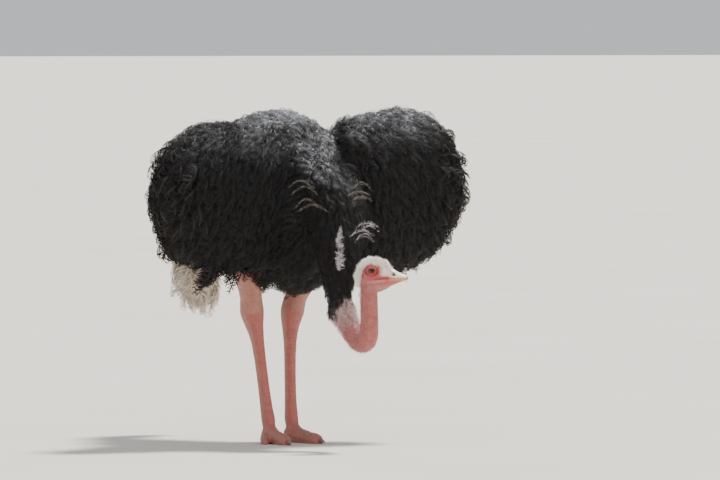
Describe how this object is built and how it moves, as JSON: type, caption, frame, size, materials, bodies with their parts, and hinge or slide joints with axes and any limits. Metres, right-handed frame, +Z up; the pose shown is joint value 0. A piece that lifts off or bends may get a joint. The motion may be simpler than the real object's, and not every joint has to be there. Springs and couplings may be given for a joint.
{
  "type": "ostrich",
  "caption": "Life-size male ostrich standing with its shaggy black wings held out and its bare pink neck drooped in a low loop.",
  "frame": {"origin": "centre of the bottom of the whole bird's box, on the floor that the soles stand on", "axes": "+Z up, -Y is the way the bird's body faces, +X its left side"},
  "size_m": [1.44, 1.6336, 1.3447],
  "materials": {
    "plumage_black": "matte",
    "plumage_white": "matte",
    "down_white": "matte",
    "down_grey": "matte",
    "skin_pink": "satin",
    "bill_horn": "satin",
    "claw_horn": "satin",
    "eye_brown": "wet gloss"
  },
  "bodies": {
    "root": {"trunk": "plumage_black", "neck_base": "plumage_black", "wing_left": "plumage_black", "wing_right": "plumage_black", "primaries_left": "plumage_white", "primaries_right": "plumage_white", "tail": "plumage_white", "neck_lower": "down_grey", "head": "down_white", "neck_bend": "skin_pink", "neck_upper": "skin_pink", "thigh_left": "skin_pink", "thigh_right": "skin_pink", "shank_left": "skin_pink", "shank_right": "skin_pink", "tarsus_left": "skin_pink", "tarsus_right": "skin_pink", "foot_left": "skin_pink", "foot_right": "skin_pink", "claw_left": "claw_horn", "claw_right": "claw_horn", "bill_upper": "bill_horn", "bill_lower": "bill_horn", "eye_left": "eye_brown", "eye_right": "eye_brown"}
  },
  "joints": []
}
